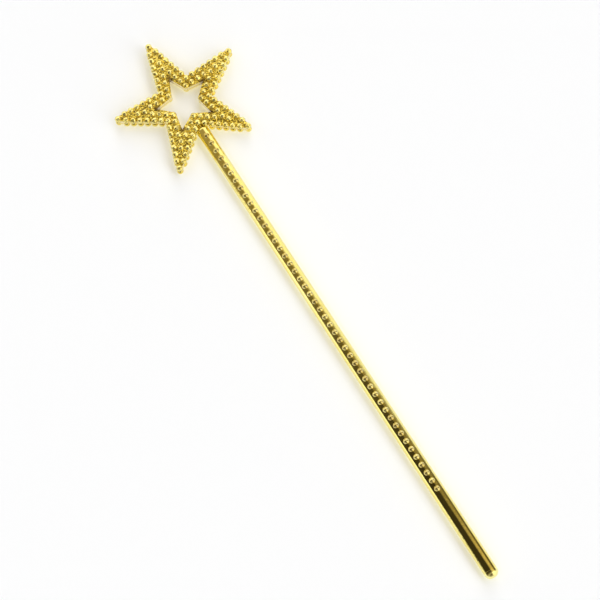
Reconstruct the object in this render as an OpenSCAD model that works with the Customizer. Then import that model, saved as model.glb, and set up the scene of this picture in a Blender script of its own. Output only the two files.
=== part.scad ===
// Toy magic wand: a beaded star with a window, on a tapered shaft with a row of beads.
// The wand lies on its back. +Y runs along the shaft to the star, and +Z points out of the star's front.
// The origin is on the shaft's axis, at the middle of the smooth grip.

/* [Star] */
// Distance from the middle of the star to the bead at a tip
arm_len = 37.4; // [36.6:0.1:40]
// Distance from the middle of the star to the bead in a notch
notch_r = 13.7; // [13.2:0.1:14.4]
// Thickness of the star, across its beads
star_t = 9.3; // [8.8:0.1:10]
// Height of the beads above the plates
bead_stand = 1.5; // [1.2:0.1:1.8]
// Width of plate that shows past the middle of the outer beads
rim_w = 0.7; // [0.3:0.1:1.1]
// Width of the plates at a tip
plate_tip_w = 2.35; // [1.6:0.05:3]
// Radius of the window's tips
window_tip_r = 15.6; // [12:0.1:17]
// Radius of the window's notches
window_notch_r = 7.6; // [6:0.1:7.6]

/* [Star beads] */
// Diameter of a bead on the star
star_bead_d = 3.4; // [2.6:0.1:3.4]
// Beads of the outer row between a notch and the tip
outer_beads = 6; // [4:1:6]
// Distance along the arm to the outer row's last pair
outer_end_len = 33.3; // [31:0.1:33.8]
// Distance between the beads of that pair
outer_end_w = 3.6; // [3.5:0.1:4.4]
// Distance from the middle of the star to the inner row's bead behind a notch
inner_notch_r = 9.4; // [9.4:0.1:10]
// Beads of the inner row between that bead and the row's end
inner_beads = 3; // [1:1:3]
// Distance along the arm to the inner row's last pair
inner_end_len = 18.7; // [18.2:0.1:19]
// Distance between the beads of that pair
inner_end_w = 4; // [3.6:0.1:4.4]
// Beads on the middle line of the arm
core_beads = 2; // [1:1:2]
// Distance along the arm to the first of them
core_len = 22.4; // [21.8:0.1:22.8]
// Distance between them
core_pitch = 3.8; // [3.6:0.1:4]

/* [Stem and pegs] */
// Diameter of the hub that seats on the end of the shaft
hub_d = 3.8; // [3.4:0.1:4.2]
// Diameter of the stem that the two halves make together
stem_d = 3; // [2.4:0.1:3.2]
// Length of the stem inside the shaft
stem_len = 14; // [8:0.5:20]
// Bevel on the free end of the stem
stem_bevel = 0.5; // [0.2:0.1:1]
// Diameter of the pegs that line up the two halves
peg_d = 2; // [1.4:0.1:2.6]
// Length of the pegs
peg_len = 1.6; // [0.8:0.1:2.4]

/* [Shaft] */
// Length of the shaft, without the end plug
shaft_len = 287; // [285:1:330]
// Length of the smooth, straight grip
grip_len = 46; // [30:1:48]
// Diameter of the shaft at the star
neck_d = 7.2; // [6.8:0.05:8]
// Diameter of the shaft at the grip
grip_d = 8; // [7.2:0.05:9]
// Radius of the rounded edge at the star end
neck_round = 1.7; // [1:0.1:2]
// Diameter of the hollow at its star end
hollow_neck_d = 4.2; // [3.4:0.1:4.6]
// Diameter of the hollow at its grip end
hollow_grip_d = 4.8; // [4:0.1:5.2]

/* [Shaft beads] */
// Number of beads in the row
row_beads = 47; // [20:1:47]
// Distance between beads of the row
row_pitch = 5; // [4:0.1:5]
// Distance from the star end of the shaft to the middle of the first bead
row_inset = 6; // [4:0.1:9]
// Diameter of a bead on the shaft
row_bead_d = 3.4; // [2.6:0.1:3.8]
// Height of the beads above the shaft
row_stand = 1.1; // [0.6:0.1:1.5]

/* [End plug] */
// Length of the plug's head, outside the shaft
head_len = 4.3; // [3.8:0.1:8]
// Radius of the rounded edge of the head
head_round = 3.4; // [1:0.1:3.5]
// Diameter of the plug's spigot, inside the shaft
spigot_d = 5.2; // [5:0.1:5.8]
// Length of the plug's spigot
spigot_len = 9; // [5:0.5:15]
// Bevel on the free end of the spigot
spigot_bevel = 0.6; // [0.2:0.1:1]

/* [Fits] */
// Gap all round the stem, the pegs and the spigot
fit_gap = 0.05; // [0.02:0.01:0.1]
// Space past the free ends of the stem, the pegs and the spigot
end_gap = 0.2; // [0.1:0.05:0.5]
// Gap between the star's plates and the rounded end of the shaft
shoulder_gap = 0.2; // [0.1:0.05:0.5]
// Bevel on both sides of the joint between shaft and plug
seam_bevel = 0.15; // [0.05:0.05:0.3]

/* [Hidden] */
$fn = 64;

// Length by which every cut runs past the solid
overrun = 1;
// Straight pieces in a rounded edge
round_steps = 8;

gold = [0.86, 0.70, 0.22];
deep_gold = [0.80, 0.63, 0.17];

// The star's rows of beads, on the right side of the arm that points along +Y
star_points = 5;
arm_angle = 360 / star_points;
notch_dir = polar(1, arm_angle / 2);
notch_at = notch_r * notch_dir;
inner_notch_at = inner_notch_r * notch_dir;
outer_end_at = [outer_end_w / 2, outer_end_len];
inner_end_at = [inner_end_w / 2, inner_end_len];
star_bead_z = (star_t - star_bead_d) / 2;

// The plates, whose edges run beside the outer rows from the notches to the tips
half_t = star_t / 2 - bead_stand;
row_dir = (outer_end_at - notch_at) / norm(outer_end_at - notch_at);
row_dist = cross(notch_at, row_dir);
plate_notch_r = notch_r * (row_dist + rim_w) / row_dist;
plate_notch = plate_notch_r * notch_dir;
plate_tip = [plate_tip_w / 2, arm_len + rim_w];
edge_dir = (plate_tip - plate_notch) / norm(plate_tip - plate_notch);
stem_root_r = (window_notch_r + plate_notch_r) / 2;

// Distance from the middle of the star to the shaft, whose rounded end clears the plates on both sides
flat_r = neck_d / 2 - neck_round;
edge_along = edge_dir * notch_dir;
edge_across = cross(notch_dir, edge_dir);
neck_gap = plate_notch_r + (neck_round + shoulder_gap + edge_along * flat_r) / edge_across - neck_round;

// The shaft, measured from its joint with the plug
grip_end = seam_bevel + grip_len;
neck_start = shaft_len - neck_round;
socket_start = shaft_len - stem_len - end_gap;

// Places along Y
seam_y = -grip_len / 2 - seam_bevel;
star_y = seam_y + shaft_len + neck_gap;

function polar(r, angle) = [r * sin(angle), r * cos(angle)];

function turned(p, angle) = [p.x * cos(angle) + p.y * sin(angle), p.y * cos(angle) - p.x * sin(angle)];

function flipped(p) = [-p.x, p.y];

function all_arms(places) = [for (i = [0 : star_points - 1], p = places) turned(p, i * arm_angle)];

function row(start, end, count) = [for (k = [1 : count]) start + (end - start) * k / count];

// Quarter arc of radius r round a centre, from angle a to angle a + 90
function quarter(centre, r, a) =
    [for (i = [0 : round_steps]) centre + r * [cos(a + 90 * i / round_steps), sin(a + 90 * i / round_steps)]];

// Radius of the shaft at a distance from its joint with the plug
function taper_r(l) = (grip_d + (neck_d - grip_d) * (l - grip_end) / (neck_start - grip_end)) / 2;

// A bead that would meet the rounded end of the shaft is left out
function clear_of_shaft(p) =
    norm([max(norm([p.x, star_bead_z]) - flat_r, 0), max(p.y + neck_gap + neck_round, 0)])
        > neck_round + star_bead_d / 2;

side_places = concat(row(notch_at, outer_end_at, outer_beads), row(inner_notch_at, inner_end_at, inner_beads));
middle_places = [for (k = [0 : core_beads - 1]) [0, core_len + k * core_pitch]];
arm_places = concat([[0, arm_len], notch_at, inner_notch_at], middle_places,
                    side_places, [for (p = side_places) flipped(p)]);
star_places = [for (p = all_arms(arm_places)) if (clear_of_shaft(p)) p];
peg_places = all_arms([[0, core_len]]);
plate_outline = all_arms([flipped(plate_tip), plate_tip, plate_notch]);
window_outline = all_arms([[0, window_tip_r], window_notch_r * notch_dir]);

module along_shaft() {
    translate([0, seam_y, 0])
        rotate([-90, 0, 0])
            children();
}

module plate() {
    difference() {
        linear_extrude(half_t)
            polygon(plate_outline);
        translate([0, 0, -overrun])
            linear_extrude(half_t + 2 * overrun)
                polygon(window_outline);
    }
}

module half_stem() {
    hub_r = hub_d / 2;
    stem_r = stem_d / 2;
    hub_len = neck_gap - stem_root_r;
    full_len = hub_len + stem_len;
    translate([0, -stem_root_r, 0])
        rotate([90, 0, 0])
            rotate_extrude(angle = 180)
                polygon([[0, 0], [hub_r, 0], [hub_r, hub_len], [stem_r, hub_len], [stem_r, full_len - stem_bevel],
                         [stem_r - stem_bevel, full_len], [0, full_len]]);
}

// One half of the star, with its joint on z = 0 and its middle at the origin
module star_half() {
    plate();
    half_stem();
    for (p = star_places)
        translate([p.x, p.y, star_bead_z])
            sphere(d = star_bead_d);
}

module star_front() {
    color(gold)
        translate([0, star_y, 0])
            difference() {
                star_half();
                for (p = peg_places)
                    translate([p.x, p.y, -overrun])
                        cylinder(d = peg_d + 2 * fit_gap, h = peg_len + end_gap + overrun);
            }
}

module star_back() {
    color(deep_gold)
        translate([0, star_y, 0]) {
            mirror([0, 0, 1])
                star_half();
            for (p = peg_places)
                translate([p.x, p.y, -half_t / 2])
                    cylinder(d = peg_d, h = half_t / 2 + peg_len);
        }
}

module shaft_body() {
    grip_r = grip_d / 2;
    rotate_extrude()
        polygon(concat([[0, 0], [grip_r - seam_bevel, 0], [grip_r, seam_bevel], [grip_r, grip_end]],
                       quarter([flat_r, neck_start], neck_round, 0),
                       [[0, shaft_len]]));
}

module shaft_hollow() {
    mouth_r = spigot_d / 2 + fit_gap;
    mouth_end = spigot_len + end_gap;
    socket_r = stem_d / 2 + fit_gap;
    rotate_extrude()
        polygon([[0, -overrun], [mouth_r, -overrun], [mouth_r, mouth_end], [hollow_grip_d / 2, mouth_end],
                 [hollow_neck_d / 2, socket_start], [socket_r, socket_start],
                 [socket_r, shaft_len + overrun], [0, shaft_len + overrun]]);
}

module bead_row() {
    for (k = [0 : row_beads - 1]) {
        l = shaft_len - row_inset - k * row_pitch;
        translate([0, seam_y + l, taper_r(l) + row_stand - row_bead_d / 2])
            sphere(d = row_bead_d);
    }
}

module shaft() {
    color(gold)
        difference() {
            union() {
                along_shaft()
                    shaft_body();
                bead_row();
            }
            along_shaft()
                shaft_hollow();
        }
}

module end_plug() {
    head_r = grip_d / 2;
    spigot_r = spigot_d / 2;
    color(deep_gold)
        along_shaft()
            rotate_extrude()
                polygon(concat([[0, spigot_len], [0, -head_len]],
                               quarter([head_r - head_round, head_round - head_len], head_round, -90),
                               [[head_r, -seam_bevel], [head_r - seam_bevel, 0], [spigot_r, 0],
                                [spigot_r, spigot_len - spigot_bevel], [spigot_r - spigot_bevel, spigot_len]]));
}

star_front();
star_back();
shaft();
end_plug();
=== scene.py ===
import math

import bmesh
import bpy
from mathutils import Matrix, Vector


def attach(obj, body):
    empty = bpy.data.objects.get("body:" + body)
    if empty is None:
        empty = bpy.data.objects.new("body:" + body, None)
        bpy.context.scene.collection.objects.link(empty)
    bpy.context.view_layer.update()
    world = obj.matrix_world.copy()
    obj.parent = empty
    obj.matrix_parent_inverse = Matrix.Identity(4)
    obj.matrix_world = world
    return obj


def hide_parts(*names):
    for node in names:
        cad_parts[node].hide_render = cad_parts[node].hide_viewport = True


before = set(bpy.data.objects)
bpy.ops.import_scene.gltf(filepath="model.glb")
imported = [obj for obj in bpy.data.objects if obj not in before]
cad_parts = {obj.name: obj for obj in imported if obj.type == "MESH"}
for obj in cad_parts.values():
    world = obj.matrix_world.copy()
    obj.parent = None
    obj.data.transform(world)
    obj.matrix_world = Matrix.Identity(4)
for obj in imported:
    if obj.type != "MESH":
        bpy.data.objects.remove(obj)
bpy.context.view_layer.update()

# All sizes are in millimetres, as in the part's source, and meshes are made in metres
MM = 0.001

# Star
STAR_POINTS = 5
ARM_ANGLE = 360 / STAR_POINTS
ARM_LEN = 37.4
NOTCH_R = 13.7
STAR_T = 9.3
BEAD_STAND = 1.5
RIM_W = 0.7
PLATE_TIP_W = 2.35
WINDOW_TIP_R = 15.6
WINDOW_NOTCH_R = 7.6
STAR_BEAD_D = 3.8
OUTER_BEADS = 6
OUTER_END = (1.8, 33.3)
INNER_NOTCH_R = 9.4
INNER_BEADS = 3
INNER_END = (2.0, 18.7)
CORE_BEADS = 2
CORE_LEN = 22.4
CORE_PITCH = 3.8
HUB_D = 3.8
STEM_D = 3
STEM_LEN = 14
STEM_BEVEL = 0.5

# Shaft and plug
SHAFT_LEN = 287
GRIP_LEN = 46
NECK_D = 7.2
GRIP_D = 8
NECK_ROUND = 1.7
HOLLOW_NECK_D = 4.2
HOLLOW_GRIP_D = 4.8
ROW_BEADS = 47
ROW_PITCH = 5
ROW_INSET = 6
ROW_BEAD_D = 3.4
ROW_STAND = 1.1
HEAD_LEN = 4.3
HEAD_ROUND = 3.4
SPIGOT_D = 5.2
SPIGOT_LEN = 9
SPIGOT_BEVEL = 0.6
FIT_GAP = 0.05
END_GAP = 0.2
SHOULDER_GAP = 0.2
SEAM_BEVEL = 0.15

# Finish of the edges
PLATE_BEVEL = 0.22
FLAT_ANGLE = math.radians(5)
SHARP_ANGLE = math.radians(38)

# Fineness of the meshes
BEVEL_STEPS = 3
ROUND_STEPS = 12
TURN_STEPS = 96
STAR_BEAD_SIDES = 12
STAR_BEAD_RINGS = 6
ROW_BEAD_SIDES = 16
ROW_BEAD_RINGS = 10
# Distances from the plug's joint at which the taper has a ring
TAPER_RINGS = (90, 130, 170, 210, 250)


def polar(r, degrees):
    a = math.radians(degrees)
    return Vector((r * math.sin(a), r * math.cos(a)))


def turned(p, degrees):
    a = math.radians(degrees)
    return Vector((p.x * math.cos(a) + p.y * math.sin(a), p.y * math.cos(a) - p.x * math.sin(a)))


def flipped(p):
    return Vector((-p.x, p.y))


def row(start, end, count):
    return [start + (end - start) * k / count for k in range(1, count + 1)]


# Places that follow from the sizes
HALF_T = STAR_T / 2 - BEAD_STAND
STAR_BEAD_Z = (STAR_T - STAR_BEAD_D) / 2
NOTCH_DIR = polar(1, ARM_ANGLE / 2)
NOTCH_AT = NOTCH_R * NOTCH_DIR
ROW_DIR = (Vector(OUTER_END) - NOTCH_AT).normalized()
ROW_DIST = NOTCH_AT.cross(ROW_DIR)
PLATE_NOTCH_R = NOTCH_R * (ROW_DIST + RIM_W) / ROW_DIST
PLATE_NOTCH = PLATE_NOTCH_R * NOTCH_DIR
PLATE_TIP = Vector((PLATE_TIP_W / 2, ARM_LEN + RIM_W))
EDGE_DIR = (PLATE_TIP - PLATE_NOTCH).normalized()
FLAT_R = NECK_D / 2 - NECK_ROUND
NECK_GAP = (PLATE_NOTCH_R - NECK_ROUND
            + (NECK_ROUND + SHOULDER_GAP + EDGE_DIR.dot(NOTCH_DIR) * FLAT_R) / NOTCH_DIR.cross(EDGE_DIR))
STEM_ROOT_R = (WINDOW_NOTCH_R + PLATE_NOTCH_R) / 2
GRIP_END = SEAM_BEVEL + GRIP_LEN
NECK_START = SHAFT_LEN - NECK_ROUND
SEAM_Y = -GRIP_LEN / 2 - SEAM_BEVEL
NECK_Y = SEAM_Y + SHAFT_LEN
STAR_Y = NECK_Y + NECK_GAP


def taper_r(l):
    """Radius of the shaft at a distance from its joint with the plug."""
    return (GRIP_D + (NECK_D - GRIP_D) * (l - GRIP_END) / (NECK_START - GRIP_END)) / 2


def quarter(centre, r, start):
    """Quarter of a circle, as (radius, length) points."""
    angles = [math.radians(start + 90 * i / ROUND_STEPS) for i in range(ROUND_STEPS + 1)]
    return [(centre[0] + r * math.cos(a), centre[1] + r * math.sin(a)) for a in angles]


# Shader maths and nodes

class Shade:
    """A value in a shader. Its operators add Math nodes."""

    def __init__(self, finish, socket):
        self.finish = finish
        self.socket = socket

    def _math(self, operation, *values):
        made = self.finish.node("ShaderNodeMath", {"operation": operation}, dict(enumerate(values)))
        return Shade(self.finish, made.outputs[0])

    def __add__(self, other):
        return self._math("ADD", self, other)

    def __radd__(self, other):
        return self._math("ADD", other, self)

    def __sub__(self, other):
        return self._math("SUBTRACT", self, other)

    def __rsub__(self, other):
        return self._math("SUBTRACT", other, self)

    def __mul__(self, other):
        return self._math("MULTIPLY", self, other)

    def __rmul__(self, other):
        return self._math("MULTIPLY", other, self)

    def __truediv__(self, other):
        return self._math("DIVIDE", self, other)

    def __neg__(self):
        return self._math("MULTIPLY", self, -1)

    def __abs__(self):
        return self._math("ABSOLUTE", self)

    def __pow__(self, other):
        return self._math("POWER", self, other)

    def ramp(self, low, high):
        """0 below low, 1 above high, and smooth between them."""
        made = self.finish.node("ShaderNodeMapRange", {"interpolation_type": "SMOOTHSTEP"},
                                {"Value": self, "From Min": low, "From Max": high})
        return Shade(self.finish, made.outputs["Result"])


class Finish:
    """The nodes of a material or of the world."""

    def __init__(self, owner):
        owner.use_nodes = True
        self.tree = owner.node_tree
        self.tree.nodes.clear()

    def node(self, kind, settings=None, inputs=None):
        made = self.tree.nodes.new(kind)
        for name, value in (settings or {}).items():
            setattr(made, name, value)
        for name, value in (inputs or {}).items():
            if isinstance(value, Shade):
                self.tree.links.new(value.socket, made.inputs[name])
            elif isinstance(value, bpy.types.NodeSocket):
                self.tree.links.new(value, made.inputs[name])
            else:
                made.inputs[name].default_value = value
        return made

    def value(self, kind, output, settings=None, inputs=None):
        return Shade(self, self.node(kind, settings, inputs).outputs[output])

    def mix_colour(self, share, first, second):
        """A colour between two colours."""
        made = self.node("ShaderNodeMix", {"data_type": "RGBA"}, {0: share, 6: first, 7: second})
        return made.outputs[2]

    def split(self, vector):
        made = self.node("ShaderNodeSeparateXYZ", inputs={0: vector})
        return [Shade(self, made.outputs[axis]) for axis in "XYZ"]

    def mapped(self, vector, scale):
        return self.node("ShaderNodeMapping", inputs={"Vector": vector, "Scale": scale}).outputs[0]

    def noise(self, vector, scale, detail=2.0, roughness=0.5):
        return self.value("ShaderNodeTexNoise", "Fac", None,
                          {"Vector": vector, "Scale": scale, "Detail": detail, "Roughness": roughness})


# Finishes

LEMON_GOLD = (0.96, 0.89, 0.34, 1)
AMBER_GOLD = (0.84, 0.64, 0.07, 1)
PALE_GOLD = (0.97, 0.90, 0.48, 1)
# Brown of the painted shade on the beads of the shaft's row
BEAD_SHADE_BROWN = (0.48, 0.36, 0.09, 1)
# Dark brown of the painted shade at the narrow tips of the star's window
TIP_SHADE_GOLD = (0.24, 0.15, 0.02, 1)

# Soft edges of the painted shade at the tips of the star's window: distances from the middle of the star,
# nearness to the middle line of an arm, and height as a share of the beads' height
TIP_SHADE_START = (11.5, 15.0)
TIP_SHADE_END = (16.2, 17.5)
TIP_SHADE_ARM = (0.84, 1.0)
TIP_SHADE_RISE = (0.05, 0.4)

# Patterns of the plating, in cycles per metre, and the depths of its reliefs
CLOUD_SCALE = 55
PATCH_SCALE = 160
PEEL_SCALE = 420
PEBBLE_SCALE = 850
MOTTLE_SCALE = 900
STREAK_SCALES = (9000, 120, 9000)
PEEL_DEPTH = 0.2
PEBBLE_DEPTH = 0.8


def in_metres(start, end):
    """Both ends of a soft edge, in metres."""
    return start * MM, end * MM


def star_rise(x, y, z):
    """Height above the star's plates, as a share of the beads' height."""
    return (abs(z) - HALF_T * MM) / (BEAD_STAND * MM)


def window_tip_shade(x, y, z):
    """1 in the painted shade at the narrow tips of the star's window, and 0 elsewhere."""
    up = y - STAR_Y * MM
    from_middle = (x * x + up * up) ** 0.5
    # The cosine of five times the angle from the first arm, which is 1 on the middle line of every arm
    cosine = up / from_middle
    a = cosine * cosine
    b = 1 - a
    on_arm = cosine * (a * a - a * b * 10 + b * b * 5)
    inside = from_middle.ramp(*in_metres(*TIP_SHADE_START)) * (1 - from_middle.ramp(*in_metres(*TIP_SHADE_END)))
    return inside * on_arm.ramp(*TIP_SHADE_ARM) * (1 - star_rise(x, y, z).ramp(*TIP_SHADE_RISE))


def shaft_rise(x, y, z):
    """Height above the tapered shaft, as a share of the beads' height."""
    slope = (taper_r(NECK_START) - taper_r(GRIP_END)) / (NECK_START - GRIP_END)
    from_axis = (x * x + z * z) ** 0.5
    along = y - (SEAM_Y + GRIP_END) * MM
    return (from_axis - (along * slope + GRIP_D / 2 * MM)) / (ROW_STAND * MM)


def gold_plating(name, rise_of=None, streak=1.0, depth=0.12, pebble=0.0, bead_shade=0.0, tip_shade_of=None):
    """Bright yellow plating under a clear lacquer, with painted shade in deeper colour round the feet of the
    beads.

    streak is the strength of the fine streaks, depth the share of amber, pebble the strength of the relief
    on the faces of the star, and bead_shade the share of painted shade, in patchy brown, on the beads.
    """
    material = bpy.data.materials.new(name)
    finish = Finish(material)
    place = finish.node("ShaderNodeTexCoord").outputs["Object"]
    x, y, z = finish.split(place)
    cloud = finish.noise(place, CLOUD_SCALE, 2)
    mottle = finish.noise(place, MOTTLE_SCALE, 3, 0.6)
    grain = finish.noise(finish.mapped(place, STREAK_SCALES), 1, 3, 0.6)
    peel = finish.noise(place, PEEL_SCALE, 2)

    # Colour: lemon to amber in clouds, painted shade in amber at the feet of the beads, and pale on their
    # tops
    deep = (cloud - 0.5) * 0.5 + (mottle - 0.5) * 0.25 + depth
    pale = mottle.ramp(0.62, 0.8) * 0.15
    if rise_of:
        rise = rise_of(x, y, z)
        # Painted shade: deeper amber low on the beads and on the faces between them
        deep = deep + (1 - rise.ramp(0.0, 0.55)) * 0.35
        pale = pale + rise.ramp(0.8, 1.0) * 0.25
    colour = finish.mix_colour(deep.ramp(0.0, 1.0), LEMON_GOLD, AMBER_GOLD)
    colour = finish.mix_colour(pale, colour, PALE_GOLD)
    # Painted shade: patchy brown that darkens the beads of the row
    if bead_shade:
        patch = 0.5 + finish.noise(place, PATCH_SCALE, 2).ramp(0.4, 0.6) * 0.5
        colour = finish.mix_colour(rise.ramp(0.02, 0.15) * patch * bead_shade, colour, BEAD_SHADE_BROWN)
    # Painted shade in the narrow tips of the star's window
    if tip_shade_of:
        colour = finish.mix_colour(tip_shade_of(x, y, z), colour, TIP_SHADE_GOLD)

    # Gloss and relief: fine streaks along the wand and a slight orange peel
    rough = 0.07 + cloud * 0.03 + grain.ramp(0.55, 0.8) * (0.06 * streak) + mottle * 0.02
    relief = peel * 0.7 + grain * (0.2 * streak)
    bump = finish.node("ShaderNodeBump", inputs={
        "Strength": 0.12, "Distance": PEEL_DEPTH * MM, "Height": relief})
    if pebble:
        cells = finish.noise(place, PEBBLE_SCALE, 1) * rise.ramp(-0.25, -0.02)
        bump = finish.node("ShaderNodeBump", inputs={
            "Strength": pebble, "Distance": PEBBLE_DEPTH * MM, "Height": cells, "Normal": bump.outputs[0]})
    shader = finish.node("ShaderNodeBsdfPrincipled", inputs={
        "Base Color": colour, "Roughness": rough, "Metallic": 1.0, "Normal": bump.outputs[0],
        "Coat Weight": 0.9, "Coat Roughness": 0.04})
    finish.node("ShaderNodeOutputMaterial", inputs={"Surface": shader.outputs[0]})
    return material


# Mesh helpers

def lathe(bm, outline, steps=TURN_STEPS, sweep=360, start=0):
    """Turns a closed outline of (radius, y) points about the wand's axis. A part turn gets flat ends."""
    whole = sweep == 360
    places = steps if whole else steps + 1
    rings = []
    for r, y in outline:
        if r == 0:
            only = bm.verts.new((0, y * MM, 0))
            rings.append([only] * places)
            continue
        angles = [math.radians(start + sweep * i / steps) for i in range(places)]
        rings.append([bm.verts.new((r * math.sin(a) * MM, y * MM, r * math.cos(a) * MM)) for a in angles])
    for first, second in zip(rings, rings[1:] + rings[:1]):
        for i in range(steps):
            j = (i + 1) % places
            corners = list(dict.fromkeys([first[i], first[j], second[j], second[i]]))
            if len(corners) > 2:
                bm.faces.new(corners)
    if not whole:
        bm.faces.new([ring[0] for ring in rings])
        bm.faces.new([ring[-1] for ring in rings])


def mesh_object(name, bm, material):
    """A smooth-shaded object that keeps its hard edges."""
    bmesh.ops.recalc_face_normals(bm, faces=bm.faces)
    for face in bm.faces:
        face.smooth = True
    for edge in bm.edges:
        edge.smooth = not (edge.is_manifold and edge.calc_face_angle() > SHARP_ANGLE)
    mesh = bpy.data.meshes.new(name)
    bm.to_mesh(mesh)
    bm.free()
    mesh.materials.append(material)
    made = bpy.data.objects.new(name, mesh)
    bpy.context.scene.collection.objects.link(made)
    return made


def socket_id(tree, name):
    return next(item.identifier for item in tree.interface.items_tree
                if item.item_type == "SOCKET" and item.in_out == "INPUT" and item.name == name)


def plain_mesh(made, tree, values):
    """Runs a tree on an object and keeps the result as the object's plain mesh."""
    modifier = made.modifiers.new("beads", "NODES")
    modifier.node_group = tree
    for name, value in values.items():
        modifier[socket_id(tree, name)] = value
    bpy.context.view_layer.update()
    seen = bpy.context.evaluated_depsgraph_get()
    result = bpy.data.meshes.new_from_object(made.evaluated_get(seen), depsgraph=seen)
    made.modifiers.remove(modifier)
    made.data = result


# Beads, as node trees

class Tree:
    """A Geometry Nodes tree with named inputs."""

    def __init__(self, name, inputs):
        self.tree = bpy.data.node_groups.new(name, "GeometryNodeTree")
        self.tree.interface.new_socket("Geometry", in_out="INPUT", socket_type="NodeSocketGeometry")
        for label, kind in inputs:
            self.tree.interface.new_socket(label, in_out="INPUT", socket_type=kind)
        self.tree.interface.new_socket("Geometry", in_out="OUTPUT", socket_type="NodeSocketGeometry")
        self.given = self.tree.nodes.new("NodeGroupInput").outputs

    def node(self, kind, settings=None, inputs=None):
        made = self.tree.nodes.new(kind)
        for name, value in (settings or {}).items():
            setattr(made, name, value)
        for name, value in (inputs or {}).items():
            for one in value if isinstance(value, list) else [value]:
                if isinstance(one, bpy.types.NodeSocket):
                    self.tree.links.new(one, made.inputs[name])
                else:
                    made.inputs[name].default_value = one
        return made.outputs

    def finish(self, beads, radius):
        """Puts a round bead on every point, sets the finish and joins the beads to the body."""
        ball = self.node("GeometryNodeMeshUVSphere", None, {
            "Segments": self.given["Bead sides"], "Rings": self.given["Bead rings"], "Radius": radius})
        put = self.node("GeometryNodeInstanceOnPoints", None, {"Points": beads, "Instance": ball["Mesh"]})
        real = self.node("GeometryNodeRealizeInstances", None, {"Geometry": put[0]})
        smooth = self.node("GeometryNodeSetShadeSmooth", None, {"Geometry": real[0]})
        dressed = self.node("GeometryNodeSetMaterial", None, {
            "Geometry": smooth[0], "Material": self.given["Finish"]})
        joined = self.node("GeometryNodeJoinGeometry", None, {
            "Geometry": [dressed[0], self.given["Geometry"]]})
        self.node("NodeGroupOutput", None, {"Geometry": joined[0]})
        return self.tree

    def half(self, socket):
        return self.node("ShaderNodeMath", {"operation": "MULTIPLY"}, {0: socket, 1: 0.5})[0]


BEAD_INPUTS = [("Bead diameter", "NodeSocketFloat"), ("Bead sides", "NodeSocketInt"),
               ("Bead rings", "NodeSocketInt"), ("Finish", "NodeSocketMaterial")]


def row_tree():
    """A straight row of beads."""
    made = Tree("bead_row", BEAD_INPUTS + [
        ("Beads", "NodeSocketInt"), ("First bead", "NodeSocketVector"), ("Step", "NodeSocketVector")])
    line = made.node("GeometryNodeMeshLine", {"mode": "OFFSET"}, {
        "Count": made.given["Beads"], "Start Location": made.given["First bead"],
        "Offset": made.given["Step"]})
    return made.finish(line[0], made.half(made.given["Bead diameter"]))


def arms_tree():
    """The bead places of one arm, repeated round the middle of the star."""
    made = Tree("bead_arms", BEAD_INPUTS + [
        ("Arm places", "NodeSocketObject"), ("Arms", "NodeSocketInt"), ("Turn", "NodeSocketFloat"),
        ("Star middle", "NodeSocketVector")])
    arm = made.node("GeometryNodeObjectInfo", None, {"Object": made.given["Arm places"]})
    one = made.node("GeometryNodeGeometryToInstance", None, {"Geometry": arm["Geometry"]})
    copies = made.node("GeometryNodeDuplicateElements", {"domain": "INSTANCE"}, {
        "Geometry": one[0], "Amount": made.given["Arms"]})
    angle = made.node("ShaderNodeMath", {"operation": "MULTIPLY"}, {
        0: copies["Duplicate Index"], 1: made.given["Turn"]})
    spin = made.node("ShaderNodeCombineXYZ", None, {"Z": angle[0]})
    around = made.node("GeometryNodeRotateInstances", None, {
        "Instances": copies["Geometry"], "Rotation": spin[0], "Pivot Point": made.given["Star middle"],
        "Local Space": False})
    places = made.node("GeometryNodeRealizeInstances", None, {"Geometry": around[0]})
    return made.finish(places[0], made.half(made.given["Bead diameter"]))


# Pieces

star_gold = gold_plating("gold_plating_star", star_rise, streak=0.5, depth=0.36, pebble=0.75,
                         tip_shade_of=window_tip_shade)
shaft_gold = gold_plating("gold_plating_shaft", shaft_rise, bead_shade=0.8)
plug_gold = gold_plating("gold_plating_plug")
bead_arms = arms_tree()
bead_row = row_tree()


def arm_places(z):
    """The beads of the arm that points along +Y, as loose points."""
    inner_notch_at = INNER_NOTCH_R * NOTCH_DIR
    side = row(NOTCH_AT, Vector(OUTER_END), OUTER_BEADS) + row(inner_notch_at, Vector(INNER_END), INNER_BEADS)
    middle = [Vector((0, CORE_LEN + k * CORE_PITCH)) for k in range(CORE_BEADS)]
    places = [Vector((0, ARM_LEN)), NOTCH_AT, inner_notch_at] + middle + side + [flipped(p) for p in side]
    mesh = bpy.data.meshes.new("arm_places")
    mesh.from_pydata([(p.x * MM, (STAR_Y + p.y) * MM, z * MM) for p in places], [], [])
    return bpy.data.objects.new("arm_places", mesh)


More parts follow.
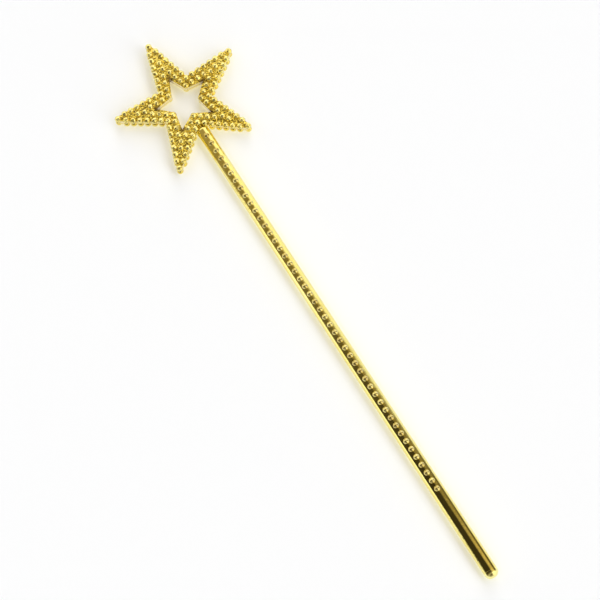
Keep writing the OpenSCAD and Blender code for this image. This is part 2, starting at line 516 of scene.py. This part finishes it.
def star_plate(bm, side):
    """One half's plate with its window, from the joint at z = 0 to the foot of the beads."""
    outer, inner = [], []
    for i in range(STAR_POINTS):
        outer += [turned(p, i * ARM_ANGLE) for p in (flipped(PLATE_TIP), PLATE_TIP, PLATE_NOTCH)]
        inner += [turned(p, i * ARM_ANGLE) for p in (Vector((0, WINDOW_TIP_R)), WINDOW_NOTCH_R * NOTCH_DIR)]

    def layer(points, z):
        return [bm.verts.new((p.x * MM, (STAR_Y + p.y) * MM, z * side * MM)) for p in points]

    low = layer(outer, 0), layer(inner, 0)
    high = layer(outer, HALF_T), layer(inner, HALF_T)
    for out, win in (low, high):
        for i in range(STAR_POINTS):
            a, b, c = out[3 * i:3 * i + 3]
            before, tip, notch = out[3 * i - 1], win[2 * i], win[2 * i + 1]
            bm.faces.new([win[2 * i - 1], before, a, tip])
            bm.faces.new([tip, a, b])
            bm.faces.new([tip, b, c, notch])
    for lower, upper in zip(low, high):
        for i in range(len(lower)):
            bm.faces.new([lower[i - 1], lower[i], upper[i], upper[i - 1]])
    bmesh.ops.recalc_face_normals(bm, faces=bm.faces)
    edges = [e for e in bm.edges if e.calc_face_angle() > FLAT_ANGLE]
    bmesh.ops.bevel(bm, geom=edges, offset=PLATE_BEVEL * MM, segments=BEVEL_STEPS, profile=0.5,
                    affect="EDGES")


def star_half(name, node, side):
    """One half of the star: its plate, its half of the stem and its beads."""
    bm = bmesh.new()
    star_plate(bm, side)
    hub_r, stem_r = HUB_D / 2, STEM_D / 2
    root_y, foot_y = STAR_Y - STEM_ROOT_R, NECK_Y - STEM_LEN
    outline = [(0, root_y), (hub_r, root_y), (hub_r, NECK_Y), (stem_r, NECK_Y), (stem_r, foot_y + STEM_BEVEL),
               (stem_r - STEM_BEVEL, foot_y), (0, foot_y)]
    lathe(bm, outline, TURN_STEPS // 2, 180, -90 if side > 0 else 90)
    made = mesh_object(name, bm, star_gold)
    places = arm_places(STAR_BEAD_Z * side)
    bpy.context.scene.collection.objects.link(places)
    plain_mesh(made, bead_arms, {
        "Bead diameter": STAR_BEAD_D * MM, "Bead sides": STAR_BEAD_SIDES, "Bead rings": STAR_BEAD_RINGS,
        "Finish": star_gold, "Arm places": places, "Arms": STAR_POINTS, "Turn": -math.radians(ARM_ANGLE),
        "Star middle": (0, STAR_Y * MM, 0)})
    bpy.data.objects.remove(places)
    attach(made, "root")
    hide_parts(node)


def shaft_tube():
    """The hollow shaft with its rounded star end, its grip and its row of beads."""
    grip_r = GRIP_D / 2
    mouth_r, mouth_end = SPIGOT_D / 2 + FIT_GAP, SPIGOT_LEN + END_GAP
    socket_r, socket_start = STEM_D / 2 + FIT_GAP, SHAFT_LEN - STEM_LEN - END_GAP
    taper = [(taper_r(l), l) for l in TAPER_RINGS]
    outline = ([(mouth_r, 0), (grip_r - SEAM_BEVEL, 0), (grip_r, SEAM_BEVEL), (grip_r, GRIP_END)] + taper
               + quarter((FLAT_R, NECK_START), NECK_ROUND, 0)
               + [(socket_r, SHAFT_LEN), (socket_r, socket_start), (HOLLOW_NECK_D / 2, socket_start),
                  (HOLLOW_GRIP_D / 2, mouth_end), (mouth_r, mouth_end)])
    bm = bmesh.new()
    lathe(bm, [(r, SEAM_Y + l) for r, l in outline])
    made = mesh_object("shaft_tube", bm, shaft_gold)
    first, last = SHAFT_LEN - ROW_INSET, SHAFT_LEN - ROW_INSET - (ROW_BEADS - 1) * ROW_PITCH
    sink = ROW_STAND - ROW_BEAD_D / 2
    drop = (taper_r(last) - taper_r(first)) / (ROW_BEADS - 1)
    plain_mesh(made, bead_row, {
        "Bead diameter": ROW_BEAD_D * MM, "Bead sides": ROW_BEAD_SIDES, "Bead rings": ROW_BEAD_RINGS,
        "Finish": shaft_gold, "Beads": ROW_BEADS,
        "First bead": (0, (SEAM_Y + first) * MM, (taper_r(first) + sink) * MM),
        "Step": (0, -ROW_PITCH * MM, drop * MM)})
    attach(made, "root")
    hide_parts("shaft")


def plug():
    """The round-ended stopper of the grip."""
    head_r, spigot_r = GRIP_D / 2, SPIGOT_D / 2
    outline = ([(0, SPIGOT_LEN), (0, -HEAD_LEN)]
               + quarter((head_r - HEAD_ROUND, HEAD_ROUND - HEAD_LEN), HEAD_ROUND, -90)
               + [(head_r, -SEAM_BEVEL), (head_r - SEAM_BEVEL, 0), (spigot_r, 0),
                  (spigot_r, SPIGOT_LEN - SPIGOT_BEVEL), (spigot_r - SPIGOT_BEVEL, SPIGOT_LEN)])
    bm = bmesh.new()
    lathe(bm, [(r, SEAM_Y + l) for r, l in outline])
    made = mesh_object("plug_dome", bm, plug_gold)
    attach(made, "root")
    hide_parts("end_plug")


star_half("star_beaded_front", "star_front", 1)
star_half("star_beaded_back", "star_back", -1)
shaft_tube()
plug()


# Table, light and camera

WHITE = (1, 1, 1, 1)
TABLE_WHITE = (0.95, 0.95, 0.95, 1)
ROOM_BROWN = (1, 0.79, 0.42, 1)
TABLE_REACH = 2400
TABLE_GAP = 0.02

# Shares of plain white in the table, as the camera and as the plating see it, and the level at which the
# table lights itself by way of the plating
SEEN_SHARE = 0.12
MIRRORED_SHARE = 0.4
BOUNCE_LEVEL = 2.3

# The room that the plating mirrors, and the lamps. Each pair is a soft edge in a direction's x, which points
# to the right of the wand, or y, which points to the star. Edges at the left and towards the hand are
# written without their minus sign.
BOX_EDGE = (0.75, 1.19)
BOX_LEAN = 5.2
BOX_MIDDLE = 0.152
BOX_FAR = 0.26
WALL_NEAR_EDGE = (0.94, 0.985)
WALL_NEAR_START = (0.086, 0.1)
WALL_FAR_EDGE = (0.84, 0.93)
WALL_FAR_START = (0.17, 0.22)
WALL_END = (0.232, 0.25)
FRONT_EDGE = (0.2, 0.3)
FRONT_RIGHT = (-0.1, 0.15)
DIM_START = (0.46, 0.56)
DIM_END = (0.8, 0.9)
DIM_MIDDLE = -0.25
DIM_SIDES = (0.25, 0.4)
BACK_EDGE = (0.38, 0.6)
HAND_EDGE = (0.082, 0.102)
HAND_SIDE = (0.75, 0.92)
LOW_EDGE = (-0.06, 0.04)
MID_EDGE = (0.12, 0.26)
HIGH_EDGE = (0.25, 0.34)
RIGHT_EDGE = (0.05, 0.45)
CORNER_EDGE = (0.78, 0.92)
LAMP_INNER = (0.08, 0.35)
LAMP_OUTER = (0.55, 0.8)
LAMP_SIDES = (-0.05, 0.05)

# Levels of the room's white surfaces, of its browns, and of the lamps
BOX_LEVEL = 1.12
WALL_LEVEL = 1.7
BACK_LEVEL = 0.85
FRONT_LEVEL = 0.3
FRONT_RIGHT_LEVEL = 0.5
GRIP_BROWN = 0.035
LOW_BROWN = 0.1
MID_BROWN = 0.22
HIGH_BROWN = 0.14
RIGHT_BROWN = 0.17
HAND_BROWN = 0.5
CORNER_LOSS = 0.45
ALL_ROUND_LEVEL = 0.12
LEFT_LAMP_LEVEL = 1.18
RIGHT_LAMP_EXTRA = 1.2


def floor():
    """A white table that touches the back of the star and the hand end."""
    size = TABLE_REACH * MM
    star_at = STAR_Y - ARM_LEN * math.cos(math.radians(ARM_ANGLE / 2))
    hand_at = SEAM_Y - HEAD_LEN + HEAD_ROUND
    slope = (GRIP_D - STAR_T) / 2 / (star_at - hand_at)
    level = (-GRIP_D / 2 - slope * hand_at - TABLE_GAP) * MM
    corners = [(a * size, b * size) for a, b in ((-1, -1), (1, -1), (1, 1), (-1, 1))]
    mesh = bpy.data.meshes.new("floor")
    mesh.from_pydata([(x, y, level + slope * y) for x, y in corners], [], [(0, 1, 2, 3)])
    made = bpy.data.objects.new("floor", mesh)
    bpy.context.scene.collection.objects.link(made)
    mesh.materials.append(white_table())


def white_table():
    """A matte white with some plain white for the camera and the plating, and a glow beside the wand."""
    material = bpy.data.materials.new("white_table")
    finish = Finish(material)
    path = finish.node("ShaderNodeLightPath")
    seen = Shade(finish, path.outputs["Is Camera Ray"])
    either = Shade(finish, path.outputs["Is Glossy Ray"]) + Shade(finish, path.outputs["Is Transmission Ray"])
    mirrored = either.ramp(0.0, 1.0)
    scattered = mirrored * Shade(finish, path.outputs["Diffuse Depth"]).ramp(0.0, 1.0)
    share = seen * SEEN_SHARE + mirrored * MIRRORED_SHARE
    matte = finish.node("ShaderNodeBsdfDiffuse", inputs={"Color": TABLE_WHITE})
    plain = finish.node("ShaderNodeEmission", inputs={"Color": WHITE, "Strength": 1.0})
    bounce = finish.node("ShaderNodeEmission", inputs={"Color": WHITE, "Strength": BOUNCE_LEVEL})
    both = finish.node("ShaderNodeMixShader", inputs={0: share, 1: matte.outputs[0], 2: plain.outputs[0]})
    white = finish.node("ShaderNodeMixShader", inputs={
        0: scattered, 1: both.outputs[0], 2: bounce.outputs[0]})
    finish.node("ShaderNodeOutputMaterial", inputs={"Surface": white.outputs[0]})
    return material


def mirrored_room(finish, x, y):
    """The room that the plating mirrors: white surfaces at the sides and the ends, and brown between them."""
    # A softbox at the right, which reaches further over the wand towards the star
    far = finish.value("ShaderNodeMath", 0, {"operation": "MINIMUM"}, {0: y, 1: BOX_FAR})
    box = (x + (far - BOX_MIDDLE) * BOX_LEAN).ramp(*BOX_EDGE)
    # A wall low at the left, in two steps
    near_wall = (-x).ramp(*WALL_NEAR_EDGE) * y.ramp(*WALL_NEAR_START)
    far_wall = (-x).ramp(*WALL_FAR_EDGE) * y.ramp(*WALL_FAR_START)
    wall = (near_wall + far_wall).ramp(0.0, 1.0) * (1 - y.ramp(*WALL_END))
    # A ceiling past the hand, with a dim patch in it, and one past the star
    dim = (-y).ramp(*DIM_START) * (1 - (-y).ramp(*DIM_END)) * (1 - abs(x - DIM_MIDDLE).ramp(*DIM_SIDES))
    front = (-y).ramp(*FRONT_EDGE) * (1 - dim) * (FRONT_LEVEL + x.ramp(*FRONT_RIGHT) * FRONT_RIGHT_LEVEL)
    back = y.ramp(*BACK_EDGE) * (1 - box) * BACK_LEVEL
    white = box * BOX_LEVEL + wall * WALL_LEVEL + front + back
    # Brown, nearly black above the grip and lighter towards the star and the right
    hand = (1 - y.ramp(*HAND_EDGE)) * (1 - x.ramp(*HAND_SIDE))
    above = (GRIP_BROWN + (-y).ramp(*LOW_EDGE) * LOW_BROWN + y.ramp(*MID_EDGE) * MID_BROWN
             + y.ramp(*HIGH_EDGE) * HIGH_BROWN)
    beside = x.ramp(*RIGHT_EDGE) * (1 - box) * (RIGHT_BROWN + hand * HAND_BROWN)
    warm = (above + beside) * (1 - x.ramp(*CORNER_EDGE) * CORNER_LOSS)
    lit = finish.node("ShaderNodeBackground", inputs={"Color": WHITE, "Strength": white})
    brown = finish.node("ShaderNodeBackground", inputs={"Color": ROOM_BROWN, "Strength": warm})
    return finish.node("ShaderNodeAddShader", inputs={0: lit.outputs[0], 1: brown.outputs[0]}).outputs[0]


def studio():
    """A soft lamp at each side for the table, and a room for the plating to mirror."""
    world = bpy.data.worlds.new("studio")
    bpy.context.scene.world = world
    finish = Finish(world)
    x, y = finish.split(finish.node("ShaderNodeTexCoord").outputs["Generated"])[:2]
    path = finish.node("ShaderNodeLightPath")
    seen = Shade(finish, path.outputs["Is Camera Ray"])
    glossy = Shade(finish, path.outputs["Is Glossy Ray"])
    scattered = glossy * Shade(finish, path.outputs["Diffuse Depth"]).ramp(0.0, 1.0)
    mirrored = glossy - scattered
    # The lamps, of which the right one is twice as strong, in a weak light from all sides
    lamp = abs(x).ramp(*LAMP_INNER) * (1 - abs(x).ramp(*LAMP_OUTER))
    lamps = ALL_ROUND_LEVEL + lamp * (LEFT_LAMP_LEVEL + x.ramp(*LAMP_SIDES) * RIGHT_LAMP_EXTRA)
    level = lamps * (1 - scattered) * (1 - seen) + scattered + seen
    soft = finish.node("ShaderNodeBackground", inputs={"Color": WHITE, "Strength": level})
    both = finish.node("ShaderNodeMixShader", inputs={
        0: mirrored, 1: soft.outputs[0], 2: mirrored_room(finish, x, y)})
    finish.node("ShaderNodeOutputWorld", inputs={"Surface": both.outputs[0]})


def camera():
    """The photograph's view. The picture and the focal length are in pixels."""
    picture_px, focal_px, sensor = 600, 2635.6, 36.0
    eye = Vector((-128.82, -126.59, 1383.02)) * MM
    target = Vector((-5.54, 154.54, -4.65)) * MM
    upward = Vector((0.5294, 0.8211, 0.2134))
    back = (eye - target).normalized()
    right = upward.cross(back).normalized()
    up = back.cross(right)
    data = bpy.data.cameras.new("camera")
    data.sensor_width = sensor
    data.lens = focal_px / picture_px * sensor
    data.clip_start, data.clip_end = 0.01, 20
    made = bpy.data.objects.new("camera", data)
    made.matrix_world = Matrix((
        (right.x, up.x, back.x, eye.x), (right.y, up.y, back.y, eye.y), (right.z, up.z, back.z, eye.z),
        (0, 0, 0, 1)))
    bpy.context.scene.collection.objects.link(made)
    bpy.context.scene.camera = made


floor()
studio()
camera()
bpy.context.scene.view_settings.view_transform = "Standard"
